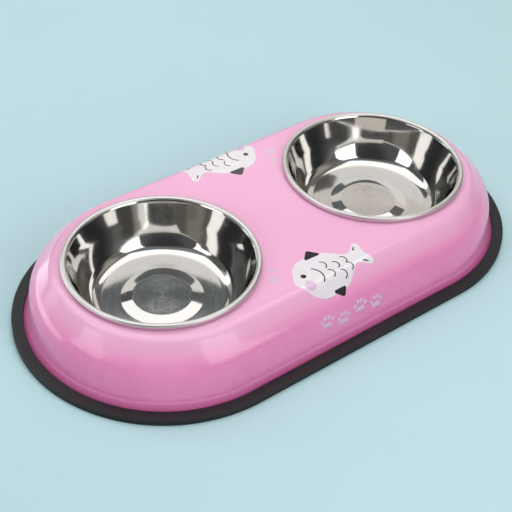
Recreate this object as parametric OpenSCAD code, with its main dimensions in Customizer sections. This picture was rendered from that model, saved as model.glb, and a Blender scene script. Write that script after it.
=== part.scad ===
// A double pet bowl: an enamelled steel stand with a rubber base ring and two lift-out steel bowls.
// +X runs along the stand, -Y is the front and +Z is up. The origin is on the floor, under the middle.

/* [Bowls] */
// Outside diameter of each bowl's rolled rim
bowl_rim_d = 140; // [120:1:160]
// Distance between the two bowl centres
bowl_pitch = 196; // [185:1:230]
// Inside depth of a bowl, from the top of its rim to its flat floor
bowl_depth = 37; // [30:1:40]
// Thickness of the bowl's steel sheet
bowl_t = 0.6; // [0.4:0.1:0.9]
// Width of the rolled rim, seen from above
rim_w = 4.5; // [4:0.1:6]
// Height of the rolled rim from its seat to its crown
rim_h = 4.2; // [4.1:0.1:6]
// Radius of the rim's crown and of its lower outside edge
crown_r = 2; // [1.5:0.1:2]
// Slope of the lip inside the crown, in degrees
lip_angle = 52; // [45:1:60]
// Horizontal run of the bowl's wall, from the lip's foot in to the corner of the floor
wall_run = 15.3; // [14:0.1:18]
// How far inside the lip's foot the wall's knee lies
wall_knee_in = 7.7; // [6.5:0.1:9]
// Height of the wall's knee above the floor
wall_knee_h = 13; // [11:0.5:15]
// Radius that rounds the knee
wall_knee_r = 80; // [20:1:120]
// Radius of the cove between the wall and the floor
cove_r = 11.5; // [8:0.5:14]
// Outer radius of the sloping step round the raised disc in the floor
step_foot_r = 30; // [26:0.5:32]
// Width of that sloping step
step_w = 8.4; // [5:0.1:10]
// Height of the raised disc above the floor
step_h = 1.5; // [0.8:0.1:2.5]
// Radius that softens both edges of the step
step_edge_r = 2; // [1:0.1:4]

/* [Stand] */
// Height of the flat deck above the floor
deck_h = 48.5; // [44:0.5:60]
// Thickness of the stand's steel sheet
shell_t = 1; // [0.7:0.1:1.4]
// Distance from a bowl's rim out to the corner of the deck, across the stand
deck_margin = 9.8; // [9:0.1:16]
// How far inside each bowl's centre the centre of that rounded end lies
end_inset = 4; // [0:0.5:5]
// Radius of the rounded shoulder between the deck and the skirt
shoulder_r = 9; // [5:0.5:11]
// Horizontal run of the skirt, from the deck's corner out to the crease near its foot
skirt_run = 19.5; // [16:0.1:24]
// How far outside the deck's corner the skirt's knee lies
skirt_knee_out = 16; // [13:0.1:18]
// Depth of that knee below the deck
skirt_knee_drop = 15.5; // [13:0.5:19]
// Radius that rounds the knee
skirt_knee_r = 26; // [10:1:40]
// Height of the crease above the floor
crease_h = 9.5; // [8:0.1:12]
// Radius of the crease
crease_r = 2.5; // [1:0.1:4]
// Horizontal run of the band that slopes out under the crease
band_run = 2.5; // [1.5:0.1:4]
// Radius of the concave bend from the band into the base flange
toe_r = 1; // [0.5:0.1:1.2]
// Width of the base flange, measured from the band
flange_w = 5.2; // [5:0.1:9]
// Gap between a bowl and the hole that it hangs in
hole_gap = 0.6; // [0.4:0.1:1]
// Radius of the bend round each hole
collar_bend_r = 1.5; // [1.5:0.1:1.9]
// Width of the flat deck that is drawn down with each collar, from the hole outwards
collar_w = 4; // [3.9:0.1:5]
// How far the collar round each hole reaches below the deck
collar_drop = 5; // [3:0.1:7]

/* [Rubber ring] */
// Thickness of the sole under the stand's flange
sole_t = 2.2; // [1.5:0.1:4]
// Thickness of the lip over the flange
lip_t = 1.5; // [1:0.1:2.5]
// Thickness of the rubber outside the flange's edge
ring_wall = 3.9; // [2.5:0.1:6]
// How far the lip reaches in over the flange
lip_reach = 4.5; // [2.5:0.1:4.7]
// How far the sole reaches in under the flange
sole_reach = 6.8; // [3:0.1:8]
// Radius of the lip's inner edge
lip_edge_r = 0.5; // [0.2:0.1:0.7]
// Radius of the ring's upper outside edge
ring_top_r = 1.3; // [0.8:0.1:1.8]
// Radius of the ring's lower outside edge
ring_foot_r = 0.6; // [0.3:0.1:1]
// Radius of the round groove along the ring's outside face
ring_groove_r = 0.45; // [0.3:0.05:0.8]

/* [Hidden] */
$fn = 180;
// Degrees turned by each short side of a rounded corner
arc_step = 6;
// Largest share of a straight stretch that one rounded corner may take
corner_share = 0.49;
// Overrun of cuts past the sheet that they pierce
cut = 1;
// How far each collar's flat part reaches into the deck round it
collar_lap = 1.5;
// Clearance between a bowl's rim and the deck under it
seat_gap = 0.3;
// Clearance all round the flange in the rubber ring's groove
grip_gap = 0.1;
// Radius of the last bend of the sheet, tucked up inside the rolled rim
tuck_r = 0.5;

bowl_x = bowl_pitch / 2;
end_x = bowl_x - end_inset;
rim_r = bowl_rim_d / 2;
seat_z = deck_h + seat_gap;
rim_top_z = seat_z + rim_h;
bowl_floor_z = rim_top_z - bowl_depth;
// The lip's foot, where the wall of the bowl begins
neck_r = rim_r - rim_w;
lip_run = rim_w - crown_r * (1 + tan(lip_angle / 2));
neck_z = rim_top_z - lip_run * tan(lip_angle);
cove_corner_r = neck_r - wall_run;
tuck_x = rim_r - crown_r - bowl_t - tuck_r;
tuck_top_z = seat_z + crown_r + tuck_r;

hole_r = neck_r + bowl_t + hole_gap;
deck_corner_r = rim_r + deck_margin;
crease_x = deck_corner_r + skirt_run;
band_x = crease_x + band_run;
flange_x = band_x + flange_w;
flange_z = sole_t + grip_gap + shell_t;
ring_x = flange_x + grip_gap + ring_wall;
groove_x = flange_x + grip_gap;
groove_low_z = sole_t;
groove_top_z = flange_z + grip_gap;
ring_h = groove_top_z + lip_t;

function unit(v) = v / norm(v);
function turned(v, a) = [v.x * cos(a) - v.y * sin(a), v.x * sin(a) + v.y * cos(a)];
function at(c) = [c.x, c.y];

// Points that round the corner b between a and c with radius r, as far as its two sides allow
function corner(a, b, c, r) =
    let (
        u = unit(a - b),
        v = unit(c - b),
        half = acos(u * v) / 2,
        room = corner_share * min(norm(a - b), norm(c - b)),
        rr = min(r, room * tan(half)),
        mid = b + unit(u + v) * rr / sin(half),
        start = b + u * rr / tan(half) - mid,
        turn = (u.x * v.y - u.y * v.x > 0 ? -1 : 1) * (180 - 2 * half),
        steps = max(2, ceil(abs(turn) / arc_step))
    )
    [for (i = [0 : steps]) mid + turned(start, turn * i / steps)];

// An outline through corners, each [x, z, radius]; a corner with no radius stays sharp
function rounded(k) = [
    for (i = [0 : len(k) - 1])
        each (k[i].z == 0 ? [at(k[i])] : corner(at(k[i - 1]), at(k[i]), at(k[i + 1]), k[i].z))
];

// The same line moved t to its right
function beside(p, t) = [
    for (i = [0 : len(p) - 1])
        let (
            a = i == 0 ? unit(p[1] - p[0]) : unit(p[i] - p[i - 1]),
            b = i == len(p) - 1 ? a : unit(p[i + 1] - p[i]),
            m = [a.y + b.y, -a.x - b.x]
        )
        p[i] + t * 2 * m / (m * m)
];

function backwards(p) = [for (i = [len(p) - 1 : -1 : 0]) p[i]];
function mirrored(p) = [for (q = backwards(p)) [-q.x, q.y]];
function both_sides(p) = concat(mirrored(p), [for (i = [1 : len(p) - 1]) p[i]]);
function sheet(p, t) = concat(p, backwards(beside(p, t)));

// The upper face of the stand's sheet, from the middle of the deck out to the flange's edge
shell_line = rounded([
    [0, deck_h, 0],
    [deck_corner_r, deck_h, shoulder_r],
    [deck_corner_r + skirt_knee_out, deck_h - skirt_knee_drop, skirt_knee_r],
    [crease_x, crease_h, crease_r],
    [band_x, flange_z, toe_r],
    [flange_x, flange_z, 0]
]);

// The upper face of the bend round a hole, from the deck in and down
collar_line = rounded([
    [hole_r + collar_w, deck_h, 0],
    [hole_r, deck_h, collar_bend_r],
    [hole_r, deck_h - collar_drop, 0]
]);

// The food side of a bowl's sheet, then over the crown and round the rolled rim
bowl_line = rounded([
    [0, bowl_floor_z + step_h, 0],
    [step_foot_r - step_w, bowl_floor_z + step_h, step_edge_r],
    [step_foot_r, bowl_floor_z, step_edge_r],
    [cove_corner_r, bowl_floor_z, cove_r],
    [neck_r - wall_knee_in, bowl_floor_z + wall_knee_h, wall_knee_r],
    [neck_r, neck_z, crown_r],
    [neck_r + lip_run, rim_top_z, crown_r],
    [rim_r, rim_top_z, crown_r],
    [rim_r, seat_z, crown_r],
    [tuck_x, seat_z, tuck_r],
    [tuck_x, tuck_top_z, 0]
]);

ring_line = rounded([
    [flange_x - sole_reach, 0, 0],
    [ring_x, 0, ring_foot_r],
    [ring_x, ring_h, ring_top_r],
    [flange_x - lip_reach, ring_h, lip_edge_r],
    [flange_x - lip_reach, groove_top_z, 0],
    [groove_x, groove_top_z, 0],
    [groove_x, groove_low_z, 0],
    [flange_x - sole_reach, groove_low_z, 0]
]);

// The two round ends of the stand, each a half turn of an outline
module ends(outline) {
    for (side = [-1, 1])
        translate([side * end_x, 0, 0])
            rotate([0, 0, -side * 90])
                rotate_extrude(angle = 180)
                    polygon(outline);
}

// The straight stretch between the ends
module straight(outline) {
    rotate([90, 0, 90])
        linear_extrude(2 * end_x, center = true)
            polygon(outline);
}

module stand_shell() {
    color([0.91, 0.60, 0.78]) {
        difference() {
            union() {
                ends(sheet(shell_line, shell_t));
                straight(sheet(both_sides(shell_line), shell_t));
            }
            for (side = [-1, 1])
                translate([side * bowl_x, 0, deck_h - shell_t - cut])
                    cylinder(h = shell_t + 2 * cut, r = hole_r + collar_w - collar_lap);
        }
        for (side = [-1, 1])
            translate([side * bowl_x, 0, 0])
                rotate_extrude()
                    polygon(sheet(collar_line, -shell_t));
    }
}

module rubber_ring() {
    color([0.16, 0.15, 0.16])
        difference() {
            union() {
                ends(ring_line);
                straight(ring_line);
                straight(mirrored(ring_line));
            }
            ring_groove();
        }
}

// A thin round groove that runs along the ring's outside face at half its height
module ring_groove() {
    for (side = [-1, 1]) {
        translate([side * end_x, 0, ring_h / 2])
            rotate([0, 0, -side * 90])
                rotate_extrude(angle = 180)
                    translate([ring_x, 0])
                        circle(r = ring_groove_r, $fn = 24);
        translate([0, side * ring_x, ring_h / 2])
            rotate([0, 90, 0])
                cylinder(h = 2 * end_x, r = ring_groove_r, center = true, $fn = 24);
    }
}

module bowl() {
    color([0.80, 0.80, 0.80])
        rotate_extrude()
            polygon(sheet(bowl_line, bowl_t));
}

module bowl_left() {
    translate([-bowl_x, 0, 0])
        bowl();
}

module bowl_right() {
    translate([bowl_x, 0, 0])
        bowl();
}

stand_shell();
rubber_ring();
bowl_left();
bowl_right();
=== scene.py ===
"""Looks of a double pet bowl: an enamelled stand, its rubber base ring, two steel bowls and a print.

Everything is in metres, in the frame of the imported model: +X along the stand, -Y to the front, +Z up.
"""

import math

import bmesh
import bpy
from mathutils import Matrix, Quaternion, Vector
from mathutils.geometry import delaunay_2d_cdt


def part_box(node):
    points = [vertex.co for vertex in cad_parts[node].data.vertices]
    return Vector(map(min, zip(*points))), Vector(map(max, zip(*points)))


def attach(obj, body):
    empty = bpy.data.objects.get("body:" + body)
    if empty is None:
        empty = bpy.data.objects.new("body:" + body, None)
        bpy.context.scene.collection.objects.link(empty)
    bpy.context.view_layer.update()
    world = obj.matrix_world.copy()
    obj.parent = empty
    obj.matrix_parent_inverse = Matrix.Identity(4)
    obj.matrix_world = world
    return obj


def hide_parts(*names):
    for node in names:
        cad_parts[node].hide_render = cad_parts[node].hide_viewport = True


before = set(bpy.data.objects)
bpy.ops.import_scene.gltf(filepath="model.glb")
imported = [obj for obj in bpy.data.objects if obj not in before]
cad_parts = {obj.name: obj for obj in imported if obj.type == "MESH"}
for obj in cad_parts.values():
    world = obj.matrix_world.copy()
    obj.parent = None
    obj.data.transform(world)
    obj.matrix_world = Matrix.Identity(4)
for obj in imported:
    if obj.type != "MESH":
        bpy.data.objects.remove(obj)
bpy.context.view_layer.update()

bl_info = {
    "name": "Double pet bowl",
    "version": (1, 0, 0),
    "blender": (4, 5, 0),
    "location": "3D View > Sidebar > Pet bowl",
    "description": "Builds an enamelled double feeding stand with two lift-out steel bowls",
    "category": "Add Mesh",
}

MM = 0.001

# What the frame gives: the outer sizes of the pieces at rest
SHELL_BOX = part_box("stand_shell")
RING_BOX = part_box("rubber_ring")
BOWL_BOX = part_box("bowl_right")
BOWL_X = (BOWL_BOX[0].x + BOWL_BOX[1].x) / 2
RIM_R = (BOWL_BOX[1].x - BOWL_BOX[0].x) / 2
RIM_TOP = BOWL_BOX[1].z
DECK_H = SHELL_BOX[1].z
END_X = RING_BOX[1].x - RING_BOX[1].y
FLANGE_R = SHELL_BOX[1].y
RING_R = RING_BOX[1].y
RING_H = RING_BOX[1].z


def number(label, default, text, **kind):
    """A property for any other number, with its unit or its limits."""
    return bpy.props.FloatProperty(name=label, description=text, default=default, **kind)


def length(label, millimetres, text, least=0.0):
    """A property for a length or a place, given in millimetres and kept in metres."""
    return number(label, millimetres * MM, text, min=least, precision=5, unit="LENGTH")


def angle(label, degrees, text):
    """A property for an angle, given in degrees and kept in radians."""
    return number(label, math.radians(degrees), text, subtype="ANGLE")


def brightness(label, level, text):
    """A property for a lamp's brightness, where 1 looks white in a mirror."""
    return number(label, level, text, min=0)


def paint(label, code, text):
    """A property for a colour, given as its six-figure screen code and kept as linear light."""
    parts = [int(code[i:i + 2], 16) / 255 for i in (0, 2, 4)]
    linear = [p / 12.92 if p <= 0.04045 else ((p + 0.055) / 1.055) ** 2.4 for p in parts]
    return bpy.props.FloatVectorProperty(
        name=label, description=text, default=linear, size=3, min=0, max=1, subtype="COLOR"
    )


class BowlSettings(bpy.types.PropertyGroup):
    """Sizes and colour of the two lift-out bowls"""
    depth: length("Depth", 37, "From the rim's top to the floor inside")
    sheet: length("Sheet", 0.6, "Thickness of the drawn steel")
    rim_w: length("Rim width", 4.5, "Width of the rim, seen from above")
    rim_h: length("Rim height", 4.2, "Height of the rim above its seat")
    crown_r: length("Crown radius", 2, "Radius of the rim's crown and lower edge")
    lip_angle: angle("Lip angle", 52, "Slope of the lip inside the crown")
    wall_run: length("Wall run", 15.3, "From the lip's foot in to the floor's corner")
    knee_in: length("Knee inset", 7.7, "From the lip's foot in to the wall's knee")
    knee_h: length("Knee height", 13, "Height of the wall's knee above the floor")
    knee_r: length("Knee radius", 80, "Radius that rounds the wall's knee")
    cove_r: length("Cove radius", 11.5, "Radius between the wall and the floor")
    step_foot_r: length("Step radius", 30, "Outer radius of the step round the raised disc")
    step_w: length("Step width", 8.4, "Width of the sloping step")
    step_h: length("Step height", 1.5, "Height of the raised disc above the floor")
    step_edge_r: length("Step edge radius", 2, "Radius of both edges of the step")
    tuck_r: length("Tuck radius", 0.5, "Radius of the last bend, up inside the rim")
    steel: paint("Steel", "CBC9C6", "Colour of the bare stainless steel")
    satin: paint("Satin steel", "E0DEDB", "Colour of the finely brushed rim")


class StandSettings(bpy.types.PropertyGroup):
    """Sizes and colours of the pressed stand"""
    sheet: length("Sheet", 1, "Thickness of the enamelled steel")
    deck_margin: length("Deck margin", 9.8, "From a bowl's rim out to the deck's corner")
    shoulder_r: length("Shoulder radius", 9, "Radius between the deck and the skirt")
    skirt_run: length("Skirt run", 19.5, "From the deck's corner out to the crease")
    knee_out: length("Knee run", 16, "From the deck's corner out to the skirt's knee")
    knee_drop: length("Knee drop", 15.5, "From the deck down to the skirt's knee")
    knee_r: length("Knee radius", 26, "Radius that rounds the skirt's knee")
    crease_h: length("Crease height", 9.5, "Height of the crease near the foot")
    crease_r: length("Crease radius", 2.5, "Radius of the crease near the foot")
    band_run: length("Band run", 2.5, "Run of the band that slopes out under the crease")
    toe_r: length("Toe radius", 1, "Radius from the band into the flange")
    flange_z: length("Flange height", 3.3, "Height of the flange's upper face")
    hole_gap: length("Hole gap", 0.6, "Gap between a bowl and its hole")
    collar_bend_r: length("Collar bend", 1.5, "Radius of the bend round each hole")
    collar_w: length("Collar width", 2.5, "Width of the bend and the flat ring round each hole")
    collar_drop: length("Collar drop", 5, "How far each collar reaches below the deck")
    enamel: paint("Enamel", "F991C6", "Colour of the baked enamel")
    enamel_deep: paint("Deep enamel", "F588BF", "Colour where the enamel is a little thicker")
    # Painted sheen: this pale deck colour stands in for the overhead light's soft reflection on the level
    # deck
    deck_painted_sheen: paint("Deck enamel", "F7B6DA", "Colour of the deck, pale with fine dust")
    # Painted shade: this darker foot colour stands in for the shade and the dark reflection of the rubber
    # ring beside it
    foot_painted_shade: paint("Foot enamel", "DC6DAA", "Colour where the enamel pooled at the foot")


class RingSettings(bpy.types.PropertyGroup):
    """Sizes and colour of the rubber base ring"""
    sole_t: length("Sole", 2.2, "Thickness of the sole under the flange")
    lip_t: length("Lip", 1.5, "Thickness of the lip over the flange")
    grip_gap: length("Grip gap", 0.1, "Clearance round the flange")
    lip_reach: length("Lip reach", 4.5, "How far the lip reaches in over the flange")
    sole_reach: length("Sole reach", 6.8, "How far the sole reaches in under the flange")
    lip_edge_r: length("Lip edge radius", 0.5, "Radius of the lip's inner edge")
    top_r: length("Top radius", 1.3, "Radius of the upper outside edge")
    foot_r: length("Foot radius", 0.6, "Radius of the lower outside edge")
    groove_r: length("Groove radius", 0.45, "Radius of the groove along the outside face")
    rubber: paint("Rubber", "0A0A0D", "Colour of the moulded rubber")


class PrintSettings(bpy.types.PropertyGroup):
    """Place and inks of the printed fish and paw trail"""
    along: length("Along", 6, "How far left of the middle the front print is")
    across: length("Across", 72, "From the stand's middle line out to the fish")
    size: number("Size", 1.2, "Size of the print beside its drawn size", min=0.5, max=1.4)
    white: paint("White ink", "F3EDF2", "Colour of the fish")
    lilac: paint("Lilac ink", "E9C4E4", "Colour of the bubbles and paws")
    black: paint("Black ink", "1C1A1E", "Colour of the fine marks")
    film: length("Film", 0.03, "Thickness of one layer of ink")


class StudioSettings(bpy.types.PropertyGroup):
    """Floor, lamps and camera"""
    floor: paint("Floor", "C1E1E7", "Colour of the paper under the stand")
    horizon: paint("Horizon", "C0DEE4", "Colour of the paper and the wall far from the stand")
    floor_side: length("Floor side", 24000, "Side of the square floor")
    overhead: brightness("Overhead", 1.5, "Brightness of the overhead softbox")
    overhead_throw: brightness("Overhead throw", 1.05, "What the overhead adds on matt surfaces alone")
    underside: brightness("Underside", 0.5, "Brightness of the lamp below the stand")
    strip: brightness("Strip", 2.6, "Brightness of the low strip beside the left end")
    fill: brightness("Fill", 0.55, "Brightness of the broad fill at the front")
    azimuth: angle("Azimuth", -39.18, "Direction of the camera; 0 looks along +Y")
    elevation: angle("Elevation", 40.43, "Height of the camera above the horizon")
    roll: angle("Roll", 2.83, "Turn of the camera about its own line of sight")
    distance: length("Distance", 902.9, "From the camera to the point that it looks at")
    target_x: length("Target X", -4.7, "Where the camera looks, along the stand", least=-1.0)
    target_y: length("Target Y", 11.2, "Where the camera looks, across the stand", least=-1.0)
    lens: number("Lens", 82.84, "Focal length for a 36 mm wide sensor", unit="CAMERA")


# How finely outlines are cut: the widest turn of a step, and the longest step of each piece
ARC_STEP = math.radians(3)
SHELL_RUN = 1.5 * MM
COLLAR_RUN = SHELL_RUN / 2
BOWL_RUN = SHELL_RUN / 1.5
RING_RUN = 0.8 * MM
PRINT_RUN = 0.4 * MM
# The largest share of a side that one rounded corner may take up
CORNER_SHARE = 0.49
# Steps round each half-round end of the stand, and along each straight side
END_STEPS = 120
STRAIGHT_STEPS = 24
# Edges that turn more than this stay sharp
SHARP_EDGE = math.radians(38)
# A point nearer to the axis than this is on it, and steps that differ by less are alike
ON_AXIS = 1e-7
ROUNDING = 1e-6


def rounded(corners, closed=False, longest=SHELL_RUN):
    """Points along straight sides and arcs through corners, each given as (across, up, radius)."""
    points = []
    count = len(corners)
    for i, (across, up, radius) in enumerate(corners):
        here = Vector((across, up))
        if radius == 0:
            points.append(here)
            continue
        back = Vector(corners[i - 1][:2]) - here
        ahead = Vector(corners[(i + 1) % count][:2]) - here
        half = back.angle(ahead) / 2
        room = CORNER_SHARE * min(back.length, ahead.length)
        radius = min(radius, room * math.tan(half))
        centre = here + (back.normalized() + ahead.normalized()).normalized() * (radius / math.sin(half))
        start = here + back.normalized() * (radius / math.tan(half)) - centre
        turn = math.pi - 2 * half
        steps = max(2, math.ceil(turn / ARC_STEP), math.ceil(turn * radius / longest))
        if back.x * ahead.y - back.y * ahead.x > 0:
            turn = -turn
        for k in range(steps + 1):
            points.append(centre + Matrix.Rotation(turn * k / steps, 2) @ start)
    if closed:
        points.append(points[0])
    return divided(points, longest)[:-1] if closed else divided(points, longest)


def divided(points, longest):
    """The same line with its long sides cut into even pieces."""
    out = [points[0]]
    for a, b in zip(points, points[1:]):
        pieces = max(1, math.ceil((b - a).length / longest - ROUNDING))
        out += [a.lerp(b, k / pieces) for k in range(1, pieces + 1)]
    return out


def beside(line, distance):
    """The line moved sideways, to the right of its own direction."""
    out = []
    for i, point in enumerate(line):
        before = (point - line[i - 1]).normalized() if i else (line[1] - point).normalized()
        after = (line[i + 1] - point).normalized() if i + 1 < len(line) else before
        middle = Vector((before.y + after.y, -before.x - after.x))
        out.append(point + middle * (2 * distance / middle.length_squared))
    return out


def stations(end_x):
    """Places round the stand, each (x of its centre, angle): right end, back, left end and front."""
    out = []
    for side, start in ((1, -0.5), (-1, 0.5)):
        steps = range(END_STEPS + 1) if end_x else range(END_STEPS)
        out += [(side * end_x, math.pi * (start + k / END_STEPS)) for k in steps]
        if end_x:
            along = [1 - 2 * k / STRAIGHT_STEPS for k in range(1, STRAIGHT_STEPS)]
            out += [(side * end_x * a, math.pi * (start + 1)) for a in along]
    return out


class Sheet:
    """Collects the points and faces of one mesh."""

    def __init__(self):
        self.points, self.faces, self.zones = [], [], []

    def ring(self, at, places, centre_x):
        """Adds the points at one place of an outline, and returns their numbers."""
        if at.x < ON_AXIS:
            self.points.append((centre_x, 0, at.y))
            return [len(self.points) - 1] * len(places)
        first = len(self.points)
        for x, turn in places:
            self.points.append((centre_x + x + at.x * math.cos(turn), at.x * math.sin(turn), at.y))
        return list(range(first, len(self.points)))

    def sweep(self, outline, end_x=0, centre_x=0, closed=False, zones=None):
        """Sweeps an outline of (radius, height) round; returns its first and last rings of points."""
        places = stations(end_x)
        rings = [self.ring(p, places, centre_x) for p in outline]
        pairs = zip(rings, rings[1:] + (rings[:1] if closed else []))
        for i, (low, high) in enumerate(pairs):
            for k in range(len(places)):
                n = (k + 1) % len(places)
                face = [low[k], low[n], high[n], high[k]]
                self.faces.append([v for j, v in enumerate(face) if v != face[j - 1]])
                self.zones.append(zones[i] if zones else 0)
        return rings[0], rings[-1]

    def made(self, name, materials):
        """Makes the object, with its normals outwards and its sharp edges marked."""
        mesh = bpy.data.meshes.new(name)
        mesh.from_pydata(self.points, [], self.faces)
        for material in materials:
            mesh.materials.append(material)
        mesh.polygons.foreach_set("material_index", self.zones)
        mesh.polygons.foreach_set("use_smooth", [True] * len(self.faces))
        work = bmesh.new()
        work.from_mesh(mesh)
        bmesh.ops.recalc_face_normals(work, faces=work.faces)
        work.to_mesh(mesh)
        work.free()
        mesh.set_sharp_from_angle(angle=SHARP_EDGE)
        made = bpy.data.objects.new(name, mesh)
        bpy.context.scene.collection.objects.link(made)
        return made


# Profiles of the pieces, as (radius, height) from the axis that each is swept round


def lip_run(s):
    """How far the sloping lip reaches out, up to the corner of the rim's crown."""
    return s.rim_w - s.crown_r * (1 + math.tan(s.lip_angle / 2))


def bowl_corners(s):
    """The food side of a bowl, over the crown and round the rolled rim."""
    floor = RIM_TOP - s.depth
    neck = RIM_R - s.rim_w
    seat = RIM_TOP - s.rim_h
    tuck = RIM_R - s.crown_r - s.sheet - s.tuck_r
    return [
        (0, floor + s.step_h, 0),
        (s.step_foot_r - s.step_w, floor + s.step_h, s.step_edge_r),
        (s.step_foot_r, floor, s.step_edge_r),
        (neck - s.wall_run, floor, s.cove_r),
        (neck - s.knee_in, floor + s.knee_h, s.knee_r),
        (neck, RIM_TOP - lip_run(s) * math.tan(s.lip_angle), s.crown_r),
        (neck + lip_run(s), RIM_TOP, s.crown_r),
        (RIM_R, RIM_TOP, s.crown_r),
        (RIM_R, seat, s.crown_r),
        (tuck, seat, s.tuck_r),
        (tuck, seat + s.crown_r + s.tuck_r, 0),
    ]


def shell_corners(s):
    """The upper face of the stand, from inside the deck's edge out to the flange's edge."""
    corner = RIM_R + s.deck_margin
    return [
        (corner - 2 * s.shoulder_r, DECK_H, 0),
        (corner, DECK_H, s.shoulder_r),
        (corner + s.knee_out, DECK_H - s.knee_drop, s.knee_r),
        (corner + s.skirt_run, s.crease_h, s.crease_r),
        (corner + s.skirt_run + s.band_run, s.flange_z, s.toe_r),
        (FLANGE_R, s.flange_z, 0),
    ]


def collar_corners(s, bowls):
    """The bend round a hole, from the deck in and down."""
    hole = RIM_R - bowls.rim_w + bowls.sheet + s.hole_gap
    return [
        (hole + s.collar_w, DECK_H, 0),
        (hole, DECK_H, s.collar_bend_r),
        (hole, DECK_H - s.collar_drop, 0),
    ]


# Radius of each edge where the ring's groove meets its outside face
GROOVE_EDGE_R = 0.08 * MM


def ring_corners(s):
    """The closed section of the rubber ring, with its round groove outside."""
    low = s.sole_t
    high = RING_H - s.lip_t
    middle = RING_H / 2
    return [
        (FLANGE_R - s.sole_reach, 0, 0),
        (RING_R, 0, s.foot_r),
        (RING_R, middle - s.groove_r, GROOVE_EDGE_R),
        (RING_R - s.groove_r, middle - s.groove_r / 2, s.groove_r),
        (RING_R - s.groove_r, middle + s.groove_r / 2, s.groove_r),
        (RING_R, middle + s.groove_r, GROOVE_EDGE_R),
        (RING_R, RING_H, s.top_r),
        (FLANGE_R - s.lip_reach, RING_H, s.lip_edge_r),
        (FLANGE_R - s.lip_reach, high, 0),
        (FLANGE_R + s.grip_gap, high, 0),
        (FLANGE_R + s.grip_gap, low, 0),
        (FLANGE_R - s.sole_reach, low, 0),
    ]


def inside_stadium(x, y, radius):
    """Whether a point lies inside the stand's outline of that radius."""
    return math.hypot(max(abs(x) - END_X, 0), y) < radius


# Spacing of the points inside the deck, and how far they stay from its edges
DECK_GRID = 6 * MM
DECK_EDGE = 2 * MM
# Points of the deck nearer than this are one
DECK_MERGE = 1e-7


def deck_faces(sheet, rings, edge_r, hole_r):
    """Fills the deck between its edge's ring and its holes'; returns the triangles and new points."""
    first = len(sheet.points)
    across = int((END_X + edge_r) / DECK_GRID) + 1
    grid = [i * DECK_GRID for i in range(-across, across + 1)]
    for x in grid:
        for y in grid:
            far_from_holes = math.hypot(abs(x) - BOWL_X, y) > hole_r + DECK_EDGE
            if far_from_holes and inside_stadium(x, y, edge_r - DECK_EDGE):
                sheet.points.append((x, y, DECK_H))
    spots = list(range(first, len(sheet.points)))
    numbers, edges, rims = [], [], []
    for ring in rings:
        start, count = len(numbers), len(ring)
        edges += [(start + k, start + (k + 1) % count) for k in range(count)]
        rims.append(set(range(start, start + count)))
        numbers += ring
    numbers += spots
    flat = [Vector(sheet.points[n][:2]) for n in numbers]
    _, _, triangles, sources, _, _ = delaunay_2d_cdt(flat, edges, [], 1, DECK_MERGE)
    out = []
    for face in triangles:
        corners = [sources[v][0] for v in face]
        if not any(set(corners) <= hole for hole in rims[1:]):
            out.append([numbers[c] for c in corners])
    return out, spots


def build_shell(s, bowls, materials):
    """The stand as one pressed sheet: skirt, flange, deck, and a collar round each hole."""
    sheet = Sheet()
    shoulder_start = RIM_R + s.deck_margin - s.shoulder_r / 2
    line = [p for p in rounded(shell_corners(s)) if p.x > shoulder_start]
    swept = [sheet.sweep(line + beside(line, s.sheet)[::-1], END_X)]
    collar = rounded(collar_corners(s, bowls), longest=COLLAR_RUN)
    closed_collar = collar + beside(collar, -s.sheet)[::-1]
    swept += [sheet.sweep(closed_collar, centre_x=side * BOWL_X) for side in (-1, 1)]
    tops, unders = zip(*swept)
    deck, spots = deck_faces(sheet, tops, line[0].x, collar[0].x)
    first = len(sheet.points)
    below = {n: first + k for k, n in enumerate(spots)}
    for high, low in zip(tops, unders):
        below.update(zip(high, low))
    for n in spots:
        x, y, z = sheet.points[n]
        sheet.points.append((x, y, z - s.sheet))
    sheet.faces += deck
    sheet.faces += [[below[n] for n in reversed(face)] for face in deck]
    sheet.zones += [0] * (2 * len(deck))
    return sheet.made("enamelled_stand", materials)


def build_ring(s, materials):
    """The rubber ring as one closed section swept round the stand."""
    sheet = Sheet()
    sheet.sweep(rounded(ring_corners(s), closed=True, longest=RING_RUN), END_X, closed=True)
    return sheet.made("rubber_base_ring", materials)


# Zones of a bowl's sheet, in the order of its materials
POLISHED, SPUN, SATIN = 0, 1, 2
# How far the spun floor keeps off the step's edges and off its own corner, as shares of the radii there
STEP_EDGE_SHARE = 0.25
COVE_SHARE = 0.375
# The satin's depth as a share of the crown's radius, and its start as a share of the lip's run
SATIN_DEPTH_SHARE = 0.65
SATIN_START_SHARE = 1 / 3


def bowl_zone(point, s):
    """Which finish a place on the food side has."""
    neck = RIM_R - s.rim_w
    clear = STEP_EDGE_SHARE * s.step_edge_r
    on_disc = point.x < s.step_foot_r - s.step_w - clear
    on_floor = s.step_foot_r + clear < point.x < neck - s.wall_run - COVE_SHARE * s.cove_r
    if point.y < RIM_TOP - s.depth + s.cove_r and (on_disc or on_floor):
        return SPUN
    on_lip = point.x > neck + SATIN_START_SHARE * lip_run(s)
    if on_lip and point.y > RIM_TOP - SATIN_DEPTH_SHARE * s.crown_r:
        return SATIN
    return POLISHED


def build_bowl(name, s, materials):
    """One bowl, swept round its own axis from a closed section of the sheet."""
    sheet = Sheet()
    line = rounded(bowl_corners(s), longest=BOWL_RUN)
    outline = line + beside(line, s.sheet)[::-1]
    outline[-1] = Vector((0, outline[-1].y))
    zones = [bowl_zone((a + b) / 2, s) for a, b in zip(line, line[1:])]
    zones += [SATIN] + [POLISHED] * (len(line) - 1)
    sheet.sweep(outline, zones=zones)
    return sheet.made(name, materials)


# How far apart the nodes stand in the shader editor
NODE_SPACING = 220


def node(tree, kind, values=None, **settings):
    """Adds a node, sets its options, and sets or links its inputs."""
    made = tree.nodes.new(kind)
    for key, value in settings.items():
        setattr(made, key, value)
    feed(tree, made, values or {})
    made.location = (NODE_SPACING * len(tree.nodes), 0)
    return made


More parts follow.
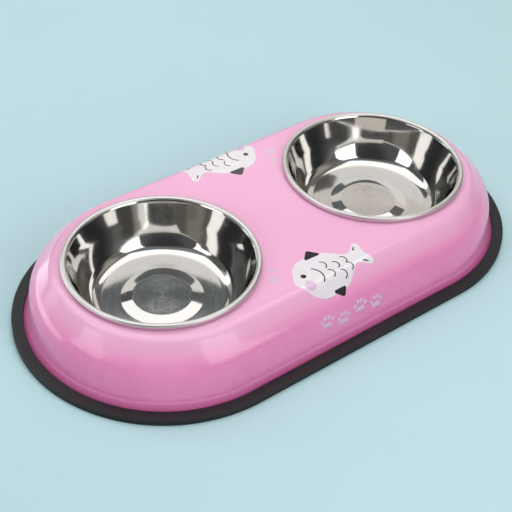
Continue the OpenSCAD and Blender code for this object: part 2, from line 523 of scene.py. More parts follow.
def feed(tree, made, values):
    """Sets a node's inputs, or links them where the value is another node's output."""
    for key, value in values.items():
        if isinstance(value, bpy.types.NodeSocket):
            tree.links.new(value, made.inputs[key])
        else:
            made.inputs[key].default_value = value


def maths(tree, operation, a, b=0.0, c=0.0):
    """A Math node's result."""
    return node(tree, "ShaderNodeMath", {0: a, 1: b, 2: c}, operation=operation).outputs[0]


def vectors(tree, operation, a, b=(0, 0, 0), result="Vector"):
    """A Vector Math node's result."""
    return node(tree, "ShaderNodeVectorMath", {0: a, 1: b}, operation=operation).outputs[result]


def ranged(tree, value, low, high, to_low=0.0, to_high=1.0):
    """A value taken smoothly from one range to another."""
    values = {"Value": value, "From Min": low, "From Max": high, "To Min": to_low, "To Max": to_high}
    return node(tree, "ShaderNodeMapRange", values, interpolation_type="SMOOTHSTEP").outputs["Result"]


# Where a Mix node for colours has its mask, its two colours and its result
MIX_MASK, MIX_A, MIX_B, MIX_RESULT = 0, 6, 7, 2


def blended(tree, mask, a, b):
    """Two colours mixed by a mask."""
    values = {MIX_MASK: mask, MIX_A: a, MIX_B: b}
    return node(tree, "ShaderNodeMix", values, data_type="RGBA").outputs[MIX_RESULT]


def noise(tree, vector, scale, detail=2.0, roughness=0.5, distortion=0.0):
    """A noise texture's value."""
    values = dict(Vector=vector, Scale=scale, Detail=detail, Roughness=roughness, Distortion=distortion)
    return node(tree, "ShaderNodeTexNoise", values).outputs[0]


def bumped(tree, height, depth, strength=1.0):
    """The normal of a surface that a height raises by up to that depth."""
    values = {"Strength": strength, "Distance": depth, "Height": height}
    return node(tree, "ShaderNodeBump", values).outputs[0]


def group(name, numbers, outputs, fill):
    """A node group, built once, that takes a vector and named numbers; fill returns its outputs."""
    found = bpy.data.node_groups.get(name)
    if found:
        return found
    made = bpy.data.node_groups.new(name, "ShaderNodeTree")
    made.interface.new_socket("Vector", in_out="INPUT", socket_type="NodeSocketVector")
    for label, default in numbers.items():
        socket = made.interface.new_socket(label, in_out="INPUT", socket_type="NodeSocketFloat")
        socket.default_value = default
    for label in outputs:
        made.interface.new_socket(label, in_out="OUTPUT", socket_type="NodeSocketFloat")
    start = made.nodes.new("NodeGroupInput")
    end = made.nodes.new("NodeGroupOutput")
    feed(made, end, fill(made, start.outputs))
    return made


def placed(tree, made, coords, **numbers):
    """Places a node group in a material with its own numbers, and returns its outputs."""
    holder = node(tree, "ShaderNodeGroup", node_tree=made)
    feed(tree, holder, {"Vector": coords, **numbers})
    return holder.outputs


# Where each effect's mask rises from none to full, in values of its noise
PATCH_RISE = (0.36, 0.64)
SCRATCH_RISE = (0.67, 0.74)
RING_RISE = (0.35, 0.65)
# How much smaller the fine patches are than the broad ones, and their share beside them
FINE_RATIO = 9.0
FINE_SHARE = 0.3


def cloudy():
    """Soft patches of two sizes, for uneven colour and gloss."""
    def fill(tree, given):
        broad = noise(tree, given["Vector"], given["Scale"], detail=3.0, roughness=0.55, distortion=0.4)
        fine_scale = maths(tree, "MULTIPLY", given["Scale"], FINE_RATIO)
        fine = noise(tree, given["Vector"], fine_scale, roughness=0.6)
        broad = maths(tree, "MULTIPLY", broad, 1 - FINE_SHARE)
        both = maths(tree, "MULTIPLY_ADD", fine, FINE_SHARE, broad)
        return {"Mask": ranged(tree, both, *PATCH_RISE)}
    return group("Cloudy patches", {"Scale": 20.0}, ["Mask"], fill)


# Each set of scratches: its turn in radians, and its shift along the texture
SCRATCH_SETS = ((0.35, 0.0), (-0.9, 3.1), (1.35, 7.7))
# How much a scratch is drawn out along its length
SCRATCH_STRETCH = 0.02


def hairlines():
    """Fine straight scratches in three directions, for handled metal and enamel."""
    def fill(tree, given):
        total = None
        for turn, shift in SCRATCH_SETS:
            along = maths(tree, "MULTIPLY", given["Scale"], SCRATCH_STRETCH)
            parts = {"X": along, "Y": given["Scale"], "Z": given["Scale"]}
            stretch = node(tree, "ShaderNodeCombineXYZ", parts).outputs[0]
            aim = {"Vector": given["Vector"], "Angle": turn}
            turned = node(tree, "ShaderNodeVectorRotate", aim, rotation_type="Z_AXIS").outputs[0]
            moved = vectors(tree, "ADD", turned, (shift, shift, 0))
            scaled = vectors(tree, "MULTIPLY", moved, stretch)
            line = noise(tree, scaled, scale=1.0, detail=1.0, roughness=0.4)
            line = ranged(tree, line, *SCRATCH_RISE)
            total = line if total is None else maths(tree, "MAXIMUM", total, line)
        return {"Mask": total}
    return group("Hairline scratches", {"Scale": 1500.0}, ["Mask"], fill)


def turned_lines():
    """Fine rings round the piece's own axis, as a spinning tool leaves them."""
    def fill(tree, given):
        flat = vectors(tree, "MULTIPLY", given["Vector"], (1, 1, 0))
        reach = vectors(tree, "LENGTH", flat, result="Value")
        way = node(tree, "ShaderNodeSeparateXYZ", {0: vectors(tree, "NORMALIZE", flat)}).outputs
        where = node(tree, "ShaderNodeCombineXYZ", {
            "X": maths(tree, "MULTIPLY", reach, given["Lines"]),
            "Y": maths(tree, "MULTIPLY", way["X"], given["Arcs"]),
            "Z": maths(tree, "MULTIPLY", way["Y"], given["Arcs"]),
        }).outputs[0]
        lines = noise(tree, where, scale=1.0, detail=3.0, roughness=0.65)
        return {"Height": lines, "Mask": ranged(tree, lines, *RING_RISE)}
    return group("Turned lines", {"Lines": 2500.0, "Arcs": 3.0}, ["Height", "Mask"], fill)


def new_material(name):
    """A new material; returns it, its tree, its shader node and object coordinates."""
    made = bpy.data.materials.new(name)
    made.use_nodes = True
    tree = made.node_tree
    shader = tree.nodes["Principled BSDF"]
    coords = node(tree, "ShaderNodeTexCoord").outputs["Object"]
    return made, tree, shader, coords


def dress(tree, shader, **values):
    """Sets the shader's own sockets to constants, and links those whose values vary."""
    feed(tree, shader, {key.replace("_", " "): value for key, value in values.items()})


def gloss(tree, mask, low, high, marks=0.0, more=0.0):
    """A roughness that a mask takes from one value to another, and more along marks."""
    return maths(tree, "MULTIPLY_ADD", marks, more, ranged(tree, mask, 0.0, 1.0, low, high))


def mixed(tree, mask, a, b):
    """Two shaders mixed by a mask."""
    return node(tree, "ShaderNodeMixShader", {0: mask, 1: a, 2: b}).outputs[0]


def colour(value, share=1.0):
    """A colour with its alpha, darkened to that share."""
    return (*(share * part for part in value), 1.0)


# Where the painted sheen begins to pale the enamel towards the deck, as a share of the deck's height
DECK_SHEEN_SHARE = 0.6
# Where the painted shade at the foot is full, as a share of the crease's height
FOOT_SHADE_SHARE = 0.75
# How much higher the enamel's broad swell is than its fine peel
SWELL_RATIO = 40.0


def enamel_material(s):
    """Glossy baked enamel: uneven depth of colour, a faint orange peel, a few hairlines, painted sheen
    paling it towards the deck and painted shade darkening it at the foot.
    """
    made, tree, shader, coords = new_material("pink_enamel")
    patches = placed(tree, cloudy(), coords, Scale=14.0)["Mask"]
    lines = placed(tree, hairlines(), coords, Scale=1100.0)["Mask"]
    up = node(tree, "ShaderNodeSeparateXYZ", {0: coords}).outputs["Z"]
    deck_sheen_mask = ranged(tree, up, DECK_SHEEN_SHARE * DECK_H, DECK_H)
    foot_shade_mask = ranged(tree, up, s.crease_h, FOOT_SHADE_SHARE * s.crease_h)
    tint = blended(tree, patches, colour(s.enamel), colour(s.enamel_deep))
    # Painted sheen: the enamel turns paler towards the deck, standing in for the overhead light's
    # reflection there
    tint = blended(tree, deck_sheen_mask, tint, colour(s.deck_painted_sheen))
    # Painted shade: the enamel turns darker at the foot, standing in for the shade and dark reflection of
    # the rubber ring
    tint = blended(tree, foot_shade_mask, tint, colour(s.foot_painted_shade))
    rough = gloss(tree, patches, low=0.34, high=0.40, marks=lines, more=0.04)
    peel = noise(tree, coords, scale=330.0, detail=0.0, roughness=0.4)
    swell = noise(tree, coords, scale=32.0, detail=1.0, roughness=0.4)
    normal = bumped(tree, maths(tree, "MULTIPLY_ADD", swell, SWELL_RATIO, peel), depth=0.0008 * MM)
    dress(tree, shader, Base_Color=tint, Roughness=rough, Normal=normal)
    dress(tree, shader, IOR=1.38, Coat_Weight=0.8, Coat_Roughness=0.09, Coat_IOR=1.5)
    return made


# Dust on the rubber: what it leaves of the colour, the grey that it adds, and its fullest cover
DUST_LEAVES = 0.8
DUST_ADDS = 0.012
DUST_COVER = 0.6


def rubber_material(s):
    """Satin moulded rubber with a fine grain and paler, dusty patches."""
    made, tree, shader, coords = new_material("black_rubber")
    patches = placed(tree, cloudy(), coords, Scale=24.0)["Mask"]
    dusty = tuple(DUST_LEAVES * part + DUST_ADDS for part in s.rubber)
    tint = blended(tree, maths(tree, "MULTIPLY", patches, DUST_COVER), colour(s.rubber), colour(dusty))
    rough = gloss(tree, patches, low=0.46, high=0.58)
    grain = noise(tree, coords, scale=2600.0, roughness=0.6)
    normal = bumped(tree, grain, depth=0.02 * MM, strength=0.6)
    dress(tree, shader, Base_Color=tint, Roughness=rough, Normal=normal, Specular_IOR_Level=0.5)
    return made


# How high the rings are beside the waves of the drawn wall
RING_RATIO = 0.01


def polished_material(s):
    """Polished drawn steel: slight waves from drawing, faint rings and hairlines."""
    made, tree, shader, coords = new_material("polished_steel")
    patches = placed(tree, cloudy(), coords, Scale=30.0)["Mask"]
    lines = placed(tree, hairlines(), coords, Scale=1600.0)["Mask"]
    rings = placed(tree, turned_lines(), coords, Lines=900.0, Arcs=2.0)["Height"]
    rough = gloss(tree, patches, low=0.045, high=0.075, marks=lines, more=0.10)
    waves = noise(tree, coords, scale=34.0, detail=1.0, roughness=0.4)
    normal = bumped(tree, maths(tree, "MULTIPLY_ADD", rings, RING_RATIO, waves), depth=0.10 * MM)
    dress(tree, shader, Base_Color=colour(s.steel), Metallic=1.0, Roughness=rough, Normal=normal)
    return made


def spun_material(s):
    """The flat floor of a bowl, finely spun, with faint rings and a turning sheen."""
    made, tree, shader, coords = new_material("spun_steel")
    rings = placed(tree, turned_lines(), coords, Lines=1900.0, Arcs=2.5)
    lines = placed(tree, hairlines(), coords, Scale=1300.0)["Mask"]
    tint = blended(tree, rings["Mask"], colour(s.steel), colour(s.steel, share=0.92))
    rough = gloss(tree, rings["Mask"], low=0.08, high=0.14, marks=lines, more=0.08)
    normal = bumped(tree, rings["Height"], depth=0.007 * MM)
    dress(tree, shader, Base_Color=tint, Roughness=rough, Normal=normal)
    dress(tree, shader, Metallic=1.0, Anisotropic=0.7, Anisotropic_Rotation=0.25)
    return made


def satin_material(s):
    """The rolled rim, brushed to a satin that shows fine rings and handling marks."""
    made, tree, shader, coords = new_material("satin_steel")
    rings = placed(tree, turned_lines(), coords, Lines=5200.0, Arcs=6.0)
    patches = placed(tree, cloudy(), coords, Scale=60.0)["Mask"]
    rough = gloss(tree, rings["Mask"], low=0.34, high=0.42, marks=patches, more=0.05)
    normal = bumped(tree, rings["Height"], depth=0.004 * MM)
    dress(tree, shader, Base_Color=colour(s.satin), Metallic=1.0, Roughness=rough, Normal=normal)
    return made


def ink_material(name, tone):
    """Screen ink: slightly uneven cover, and the gloss of the enamel round it."""
    made, tree, shader, coords = new_material(name)
    patches = placed(tree, cloudy(), coords, Scale=45.0)["Mask"]
    tint = blended(tree, patches, colour(tone), colour(tone, share=0.93))
    rough = gloss(tree, patches, low=0.20, high=0.28)
    dress(tree, shader, Base_Color=tint, Roughness=rough)
    dress(tree, shader, IOR=1.5, Coat_Weight=1.0, Coat_Roughness=0.05, Coat_IOR=1.5)
    return made


# Metres from the middle where the paper begins to fade into one even colour, and where it has
FADE_START = 0.5
FADE_END = 0.95


def floor_material(s):
    """Matt paper that far off becomes one even colour; from below, and to every lamp, it is clear."""
    made, tree, shader, coords = new_material("studio_paper")
    patches = placed(tree, cloudy(), coords, Scale=3.0)["Mask"]
    tint = blended(tree, patches, colour(s.floor), colour(s.floor, share=0.985))
    dress(tree, shader, Base_Color=tint, Roughness=0.9, Specular_IOR_Level=0.1)
    path = node(tree, "ShaderNodeLightPath").outputs
    below = node(tree, "ShaderNodeNewGeometry").outputs["Backfacing"]
    seen = maths(tree, "MAXIMUM", path["Is Camera Ray"], path["Is Glossy Ray"])
    reach = vectors(tree, "LENGTH", coords, result="Value")
    far = maths(tree, "MULTIPLY", seen, ranged(tree, reach, FADE_START, FADE_END))
    even = node(tree, "ShaderNodeEmission", {"Color": colour(s.horizon), "Strength": 1.0}).outputs[0]
    clear = node(tree, "ShaderNodeBsdfTransparent").outputs[0]
    whole = mixed(tree, far, shader.outputs[0], even)
    whole = mixed(tree, maths(tree, "MAXIMUM", below, path["Is Shadow Ray"]), whole, clear)
    tree.links.new(whole, tree.nodes["Material Output"].inputs["Surface"])
    return made


# The print: a fish, bubbles and a trail of paws, in millimetres, x along and y down the stand


# Points of a printed circle per millimetre of its radius, and the fewest
CIRCLE_POINTS = 12
FEWEST_POINTS = 16
# Steps along a pen stroke, and the longest step of any other outline, in millimetres
STROKE_STEPS = 14
OUTLINE_RUN = 1.2


def around(x, y, radius, turn, tall=1.0):
    """The place on a circle, or on an oval that many times as tall."""
    return Vector((x + radius * math.cos(turn), y + tall * radius * math.sin(turn)))


def circle(x, y, radius, tall=1.0):
    """A round or oval outline."""
    count = max(FEWEST_POINTS, int(radius * CIRCLE_POINTS))
    return [around(x, y, radius, 2 * math.pi * k / count, tall) for k in range(count)]


def drawn(corners):
    """An outline of straight and round stretches, from (x, y, corner radius)."""
    return rounded(corners, closed=True, longest=OUTLINE_RUN)


def arc_stroke(x, y, radius, start, end, width):
    """A pen stroke along an arc, with round ends; angles are in degrees."""
    turns = [math.radians(start + (end - start) * k / STROKE_STEPS) for k in range(STROKE_STEPS + 1)]
    outer = [around(x, y, radius + width / 2, turn) for turn in turns]
    inner = [around(x, y, radius - width / 2, turn) for turn in turns]
    caps = []
    for turn, way in ((turns[-1], 1), (turns[0], -1)):
        middle = around(x, y, radius, turn)
        ahead = Vector((-math.sin(turn), math.cos(turn))) * way
        out = Vector((math.cos(turn), math.sin(turn))) * way
        caps.append([
            middle + (ahead * math.sin(a) + out * math.cos(a)) * width / 2
            for a in (math.pi / 4, math.pi / 2, 3 * math.pi / 4)
        ])
    return outer + caps[0] + inner[::-1] + caps[1]


# A toe's radius as a share of the paw's size, and how much longer than wide it is
TOE_SHARE = 0.13
TOE_STRETCH = 1.35


def paw(x, y, size):
    """A paw mark: a pad and four toes."""
    pad = [(-0.5, 0.42, 0.22), (-0.3, -0.02, 0.26), (0.3, -0.02, 0.26), (0.5, 0.42, 0.22), (0, 0.34, 0.3)]
    toes = [(-0.48, -0.18), (-0.17, -0.46), (0.17, -0.46), (0.48, -0.18)]
    outlines = [drawn([(x + a * size, y + b * size, r * size) for a, b, r in pad])]
    radius = TOE_SHARE * size
    return outlines + [circle(x + a * size, y + b * size, radius, TOE_STRETCH) for a, b in toes]


def fish_outline():
    """The fish's body and tail as one outline."""
    head = [(-27, 1, 7), (-17, -15, 14), (4, -14, 16)]
    tail = [(16, -2.5, 5), (29, -12, 2.5), (25.5, 1, 4), (29, 13, 2.5), (16, 4.5, 5)]
    belly = [(4, 17, 16), (-17, 17, 14)]
    return drawn(head + tail + belly)


# The trail of paws below the fish: how many, their size, where the trail starts, and how far each paw
# is from the last along the trail and to one side of it
PAW_COUNT = 4
PAW_SIZE = 8
TRAIL_X, TRAIL_Y = -17, 32
PAW_STEP = 12.5
PAW_SWAY = 1.4


def motif():
    """The layers of the print: (name, ink, layer, outlines)."""
    scale_places = ((-3, -4), (-3, 4), (3.5, 0), (3.5, 8), (10, -1), (10, 5))
    scales = [arc_stroke(x, y, 3.2, -70, 70, 0.7) for x, y in scale_places]
    fins = [
        drawn([(-9, -12.6, 1), (-2, -19.5, 1.6), (4, -12.2, 1)]),
        drawn([(-8, 14.6, 1), (-1, 20.5, 1.4), (3, 14.4, 1)]),
    ]
    face = [circle(-17.5, -2.5, 1.7), arc_stroke(-15, 1, 8.2, -48, 48, 0.8)]
    tail = [
        drawn([(21, -4.4, 0.3), (26, -8.2, 0.3), (21.6, -3.3, 0.3)]),
        drawn([(21, 6.4, 0.3), (26, 9.6, 0.3), (21.6, 5.2, 0.3)]),
    ]
    bubbles = [circle(-33, -9, 3.2), circle(-29, -17.5, 2.1), circle(-36, -20, 1.4)]
    cheeks = [circle(-18.5, 5.6, 3.4)]
    trail = []
    for k in range(PAW_COUNT):
        sway = PAW_SWAY if k % 2 else -PAW_SWAY
        trail += paw(TRAIL_X + PAW_STEP * k, TRAIL_Y + sway, PAW_SIZE)
    return [
        ("fish", "white", 1, [fish_outline()]),
        ("bubbles", "lilac", 1, bubbles + trail),
        ("blush", "lilac", 2, cheeks),
        ("marks", "black", 2, scales + fins + face + tail),
    ]


def shell_place(line, reach):
    """The place and outward normal on the stand, that far along its outline."""
    if reach <= 0:
        return Vector((line[0].x + reach, line[0].y)), Vector((0, 1))
    for i in range(len(line) - 1):
        side = line[i + 1] - line[i]
        if reach <= side.length:
            here = line[i] + side * (reach / side.length)
            return here, Vector((-side.y, side.x)).normalized()
        reach -= side.length
    raise ValueError("a print reaches past the flange")


# Spacing of the points inside a printed outline, and their margin, in millimetres
PRINT_GRID = 1.0
PRINT_EDGE = 0.35
# Printed points nearer than this are one, in millimetres
PRINT_MERGE = 1e-5
# Thickness of the film beside one layer of ink, so that a second layer laps into the first
FILM_LAP = 1.5


def spots_inside(outline):
    """Evenly spaced spots inside a printed outline."""
    low = [min(p[i] for p in outline) for i in (0, 1)]
    high = [max(p[i] for p in outline) for i in (0, 1)]
    columns, rows = (int((high[i] - low[i]) / PRINT_GRID) for i in (0, 1))
    spots = [
        Vector((low[0] + i * PRINT_GRID, low[1] + j * PRINT_GRID))
        for i in range(1, columns + 1) for j in range(1, rows + 1)
    ]
    return [spot for spot in spots if well_inside(spot, outline, PRINT_EDGE)]


def print_mesh(name, outlines, ink, line, layer, s, side):
    """A thin film of ink that follows the deck, the shoulder and the skirt."""
    sheet = Sheet()
    for drawing in outlines:
        outline = [p * s.size for p in drawing]
        edges = [(k, (k + 1) % len(outline)) for k in range(len(outline))]
        border = [list(range(len(outline)))]
        flat = outline + spots_inside(outline)
        spots, _, triangles, _, _, _ = delaunay_2d_cdt(flat, edges, border, 1, PRINT_MERGE)
        first, count = len(sheet.points), len(spots)
        for level in (0, 1):
            for spot in spots:
                here, out = shell_place(line, s.across + spot.y * MM - line[0].x)
                here = here + out * s.film * (layer - 1 + FILM_LAP * level)
                along = spot.x * MM - s.along
                sheet.points.append((side * along, -side * here.x, here.y))
        for face in triangles:
            sheet.faces.append([first + count + v for v in face])
            sheet.faces.append([first + v for v in reversed(face)])
        rim = dict.fromkeys(pair for face in triangles for pair in zip(face, face[1:] + face[:1]))
        for a, b in rim:
            if (b, a) not in rim:
                sheet.faces.append([first + a, first + b, first + count + b, first + count + a])
    sheet.zones = [0] * len(sheet.faces)
    return sheet.made(name, [ink])


def well_inside(spot, outline, margin):
    """Whether a spot lies inside an outline and clear of its edge."""
    inside = False
    for a, b in zip(outline, outline[1:] + outline[:1]):
        side = b - a
        if (a.y > spot.y) != (b.y > spot.y) and spot.x < (b.x - a.x) * (spot.y - a.y) / (b.y - a.y) + a.x:
            inside = not inside
        t = max(0.0, min(1.0, (spot - a).dot(side) / side.length_squared)) if side.length_squared else 0.0
        if (spot - a - side * t).length < margin:
            return False
    return inside


def set_in(made, body, cad_node):
    """Puts a piece on its body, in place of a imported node."""
    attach(made, body)
    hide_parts(cad_node)


class PETBOWL_OT_stand(bpy.types.Operator):
    """Builds the enamelled stand"""
    bl_idname = "petbowl.stand"
    bl_label = "Enamelled stand"

    def execute(self, context):
        s = context.scene.petbowl_stand
        made = build_shell(s, context.scene.petbowl_bowls, [enamel_material(s)])
        set_in(made, "stand", "stand_shell")
        return {"FINISHED"}


class PETBOWL_OT_ring(bpy.types.Operator):
    """Builds the rubber base ring"""
    bl_idname = "petbowl.ring"
    bl_label = "Rubber base ring"

    def execute(self, context):
        s = context.scene.petbowl_ring
        made = build_ring(s, [rubber_material(s)])
        set_in(made, "stand", "rubber_ring")
        return {"FINISHED"}


# Each bowl's name and side, and its turn in its hole, in radians, so that their marks differ
BOWLS = (("left", -1, 0.0), ("right", 1, 2.4))


class PETBOWL_OT_bowls(bpy.types.Operator):
    """Builds the two lift-out steel bowls"""
    bl_idname = "petbowl.bowls"
    bl_label = "Steel bowls"

    def execute(self, context):
        s = context.scene.petbowl_bowls
        finishes = [polished_material(s), spun_material(s), satin_material(s)]
        for name, side, turn in BOWLS:
            made = build_bowl(f"steel_bowl_{name}", s, finishes)
            made.location.x = side * BOWL_X
            made.rotation_euler.z = turn
            set_in(made, f"{name}_bowl", f"bowl_{name}")
        return {"FINISHED"}


class PETBOWL_OT_print(bpy.types.Operator):
    """Prints the fish and the paw trail on the front and on the back"""
    bl_idname = "petbowl.print"
    bl_label = "Printed motif"

    def execute(self, context):
        s = context.scene.petbowl_print
        line = rounded(shell_corners(context.scene.petbowl_stand), longest=PRINT_RUN)
        inks = {name: ink_material(f"{name}_ink", getattr(s, name)) for name in ("white", "lilac", "black")}
        for place, side in (("front", 1), ("back", -1)):
            for name, ink, layer, outlines in motif():
                made = print_mesh(f"print_{place}_{name}", outlines, inks[ink], line, layer, s, side)
                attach(made, "stand")
        return {"FINISHED"}


def toward(azimuth, elevation, distance):
    """A point in that direction, in degrees; azimuth 0 is to the front and 90 to the right."""
    a, e = math.radians(azimuth), math.radians(elevation)
    return Vector((math.sin(a) * math.cos(e), -math.cos(a) * math.cos(e), math.sin(e))) * distance


# The dim room: its base colour, and soft patches on it as (degrees round from the front, degrees up,
# radius in degrees, colour)
ROOM_BASE = (0.12, 0.12, 0.125)
ROOM_PATCHES = (
    (-36, 82, 30, (0.26, 0.26, 0.26)),
    (70, 42, 36, (0.22, 0.21, 0.195)),
    (66, 37, 15, (0.46, 0.43, 0.39)),
    (76, 16, 16, (0.03, 0.028, 0.028)),
    (12, 66, 15, (0.24, 0.28, 0.30)),
    (-105, 56, 16, (0.30, 0.32, 0.34)),
    (-138, 32, 16, (0.13, 0.14, 0.12)),
    (-39, 34, 22, (0.05, 0.055, 0.06)),
    (-166, 36, 12, (0.60, 0.57, 0.54)),
    (150, 44, 9, (0.16, 0.18, 0.19)),
)
# How far in and out of its radius a patch's edge is blurred, as a share of it
PATCH_BLUR_SHARE = 0.45


def studio_world(s):
    """A dim room with soft lighter and darker walls, which the camera sees as one pale colour."""
    world = bpy.data.worlds.new("studio_room")
    world.use_nodes = True
    tree = world.node_tree
    way = node(tree, "ShaderNodeTexCoord").outputs["Generated"]
    tint = colour(ROOM_BASE)
    for azimuth, elevation, radius, patch in ROOM_PATCHES:
        near = vectors(tree, "DOT_PRODUCT", way, toward(azimuth, elevation, 1.0), result="Value")
        edge, full = (math.cos(math.radians(radius * (1 + k * PATCH_BLUR_SHARE))) for k in (1, -1))
        tint = blended(tree, ranged(tree, near, edge, full), tint, colour(patch))
    seen = node(tree, "ShaderNodeLightPath").outputs["Is Camera Ray"]
    tree.links.new(blended(tree, seen, tint, colour(s.horizon)), tree.nodes["Background"].inputs["Color"])
    bpy.context.scene.world = world


def softbox(name, place, target, size, radiance, turn=0.0, tint=(1, 1, 1), unseen_by=()):
    """A rectangular lamp that faces a point, given its brightness as seen in a mirror."""
    lamp = bpy.data.lights.new(name, "AREA")
    lamp.shape = "RECTANGLE"
    lamp.size, lamp.size_y = size
    lamp.energy = radiance * math.pi * size[0] * size[1]
    lamp.color = tint
    made = bpy.data.objects.new(name, lamp)
    made.location = place
    made.rotation_mode = "QUATERNION"
    facing = (Vector(target) - Vector(place)).to_track_quat("-Z", "Y")
    made.rotation_quaternion = facing @ Quaternion((0, 0, 1), turn)
    for ray in unseen_by:
        setattr(made, "visible_" + ray, False)
    bpy.context.scene.collection.objects.link(made)


# Softboxes and cards round the object, with places and sizes in metres and angles in degrees; level is
# the brightness that mirrors show, and throw what is added on matt surfaces alone
CARDS = (
    dict(name="right_softbox", azimuth=7, out=0.85, up=0.62, size=(0.50, 0.78), level=2.4, throw=2.1),
    dict(name="left_softbox", azimuth=-96, out=1.6, up=0.74, size=(0.72, 0.80), level=2.2, throw=2.4),
    dict(name="window", azimuth=204, out=2.25, up=1.2, size=(0.5, 2.9), level=1.3, throw=0.6,
         tint=(0.88, 0.96, 1.0), tilt=38),
    dict(name="back_card", azimuth=140, out=1.0, up=0.55, size=(1.3, 0.54), level=0.8,
         tint=(1.0, 0.94, 0.86)),
    dict(name="front_card", azimuth=-34, out=2.0, up=0.32, size=(1.5, 0.30), level=0.7,
         tint=(1.0, 0.91, 0.80)),
)
# A low white strip on the floor beside the left end, which the enamel there mirrors
STRIP_AZIMUTH = -132
STRIP_OUT = 0.44
STRIP_SIZE = (0.42, 0.075)
# The overhead softbox hangs level, back and to the left of the left bowl as the camera sees it
OVERHEAD_AZIMUTH = 141
OVERHEAD_BACK = 0.435
OVERHEAD_LEFT = 0.15
OVERHEAD_HEIGHT = 1.12
OVERHEAD_SIZE = (1.5, 1.21)
# A broad fill at the front
FILL_PLACE = toward(-30, 24, 2.2)
FILL_SIZE = (2.4, 1.2)
# A lamp below the floor, which shows the stand's underside
UNDERSIDE_PLACE = (0, 0, -1.2)
UNDERSIDE_SIZE = (2.0, 2.0)


def stand_card(name, azimuth, out, up, size, level, throw=0.0, tint=(1, 1, 1), tilt=0.0):
    """One of the softboxes or cards, and the twin of it that no mirror shows."""
    place = toward(azimuth, 0, out)
    place.z = up
    softbox(name, place, (0, 0, up), size, level, math.radians(tilt), tint)
    if throw:
        softbox(name + "_throw", place, (0, 0, up), size, throw, math.radians(tilt), tint, ("glossy",))


def hang_lamps(s):
    """The lamps that have their own settings: strip, overhead, fill and underside."""
    place = toward(STRIP_AZIMUTH, 0, STRIP_OUT)
    place.z = STRIP_SIZE[1] / 2
    softbox("low_strip", place, (0, 0, place.z), STRIP_SIZE, s.strip, unseen_by=("camera", "diffuse"))
    over = Vector((-BOWL_X, 0, 0)) + toward(OVERHEAD_AZIMUTH, 0, OVERHEAD_BACK)
    over += toward(OVERHEAD_AZIMUTH + 90, 0, OVERHEAD_LEFT)
    over.z = OVERHEAD_HEIGHT
    below = (over.x, over.y, 0)
    turn = math.radians(OVERHEAD_AZIMUTH)
    softbox("overhead_softbox", over, below, OVERHEAD_SIZE, s.overhead, turn)
    softbox("overhead_throw", over, below, OVERHEAD_SIZE, s.overhead_throw, turn, unseen_by=("glossy",))
    softbox("front_fill", FILL_PLACE, (0, 0, 0), FILL_SIZE, s.fill, unseen_by=("glossy",))
    unseen_by = ("glossy", "camera")
    softbox("underside_fill", UNDERSIDE_PLACE, (0, 0, 0), UNDERSIDE_SIZE, s.underside, unseen_by=unseen_by)


# The camera's sensor in millimetres, and its nearest and farthest view in metres
SENSOR_WIDTH = 36.0
NEAREST, FARTHEST = 0.01, 100.0


def place_camera(s):
    """The camera, at the photograph's own angle and distance."""
    back = toward(math.degrees(s.azimuth), math.degrees(s.elevation), 1.0)
    right = Vector((math.cos(s.azimuth), math.sin(s.azimuth), 0))
    up = back.cross(right)
    right = right * math.cos(s.roll) + up * math.sin(s.roll)
    up = back.cross(right)
    lens = bpy.data.cameras.new("photo_camera")
    lens.lens, lens.sensor_width = s.lens, SENSOR_WIDTH
    lens.clip_start, lens.clip_end = NEAREST, FARTHEST
    camera = bpy.data.objects.new("photo_camera", lens)
    bpy.context.scene.collection.objects.link(camera)
    turn = Matrix((right, up, back)).transposed().to_4x4()
    place = Vector((s.target_x, s.target_y, 0)) + back * s.distance
    camera.matrix_world = Matrix.Translation(place) @ turn
    bpy.context.scene.camera = camera


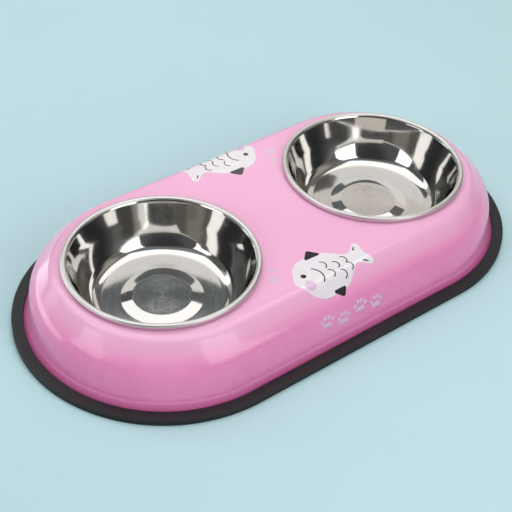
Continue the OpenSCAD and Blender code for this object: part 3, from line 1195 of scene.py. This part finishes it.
class PETBOWL_OT_studio(bpy.types.Operator):
    """Sets the floor, the lamps and the camera"""
    bl_idname = "petbowl.studio"
    bl_label = "Studio"

    def execute(self, context):
        s = context.scene.petbowl_studio
        half = s.floor_side / 2
        corners = [(-half, -half, 0), (half, -half, 0), (half, half, 0), (-half, half, 0)]
        mesh = bpy.data.meshes.new("studio_floor")
        mesh.from_pydata(corners, [], [(0, 1, 2, 3)])
        mesh.materials.append(floor_material(s))
        floor = bpy.data.objects.new("studio_floor", mesh)
        context.scene.collection.objects.link(floor)
        studio_world(s)
        for card in CARDS:
            stand_card(**card)
        hang_lamps(s)
        place_camera(s)
        context.scene.view_settings.view_transform = "Standard"
        return {"FINISHED"}


# Each part's settings on the scene, their class, and its operator
PARTS = (
    ("petbowl_stand", StandSettings, PETBOWL_OT_stand),
    ("petbowl_ring", RingSettings, PETBOWL_OT_ring),
    ("petbowl_bowls", BowlSettings, PETBOWL_OT_bowls),
    ("petbowl_print", PrintSettings, PETBOWL_OT_print),
    ("petbowl_studio", StudioSettings, PETBOWL_OT_studio),
)


class PETBOWL_PT_sidebar(bpy.types.Panel):
    """Lists the pieces, each with its sizes and colours"""
    bl_idname = "PETBOWL_PT_sidebar"
    bl_label = "Double pet bowl"
    bl_space_type = "VIEW_3D"
    bl_region_type = "UI"
    bl_category = "Pet bowl"

    def draw(self, context):
        for name, settings, operator in PARTS:
            box = self.layout.box()
            box.operator(operator.bl_idname)
            for key in settings.__annotations__:
                box.prop(getattr(context.scene, name), key)


def register():
    """Registers the classes and gives the scene their settings."""
    for name, settings, operator in PARTS:
        bpy.utils.register_class(settings)
        bpy.utils.register_class(operator)
        setattr(bpy.types.Scene, name, bpy.props.PointerProperty(type=settings))
    bpy.utils.register_class(PETBOWL_PT_sidebar)


def unregister():
    """Takes the settings and the classes away again."""
    bpy.utils.unregister_class(PETBOWL_PT_sidebar)
    for name, settings, operator in reversed(PARTS):
        delattr(bpy.types.Scene, name)
        bpy.utils.unregister_class(operator)
        bpy.utils.unregister_class(settings)


def main():
    """Builds every piece."""
    register()
    bpy.ops.petbowl.studio()
    bpy.ops.petbowl.stand()
    bpy.ops.petbowl.ring()
    bpy.ops.petbowl.bowls()
    bpy.ops.petbowl.print()


if __name__ == "__main__":
    main()
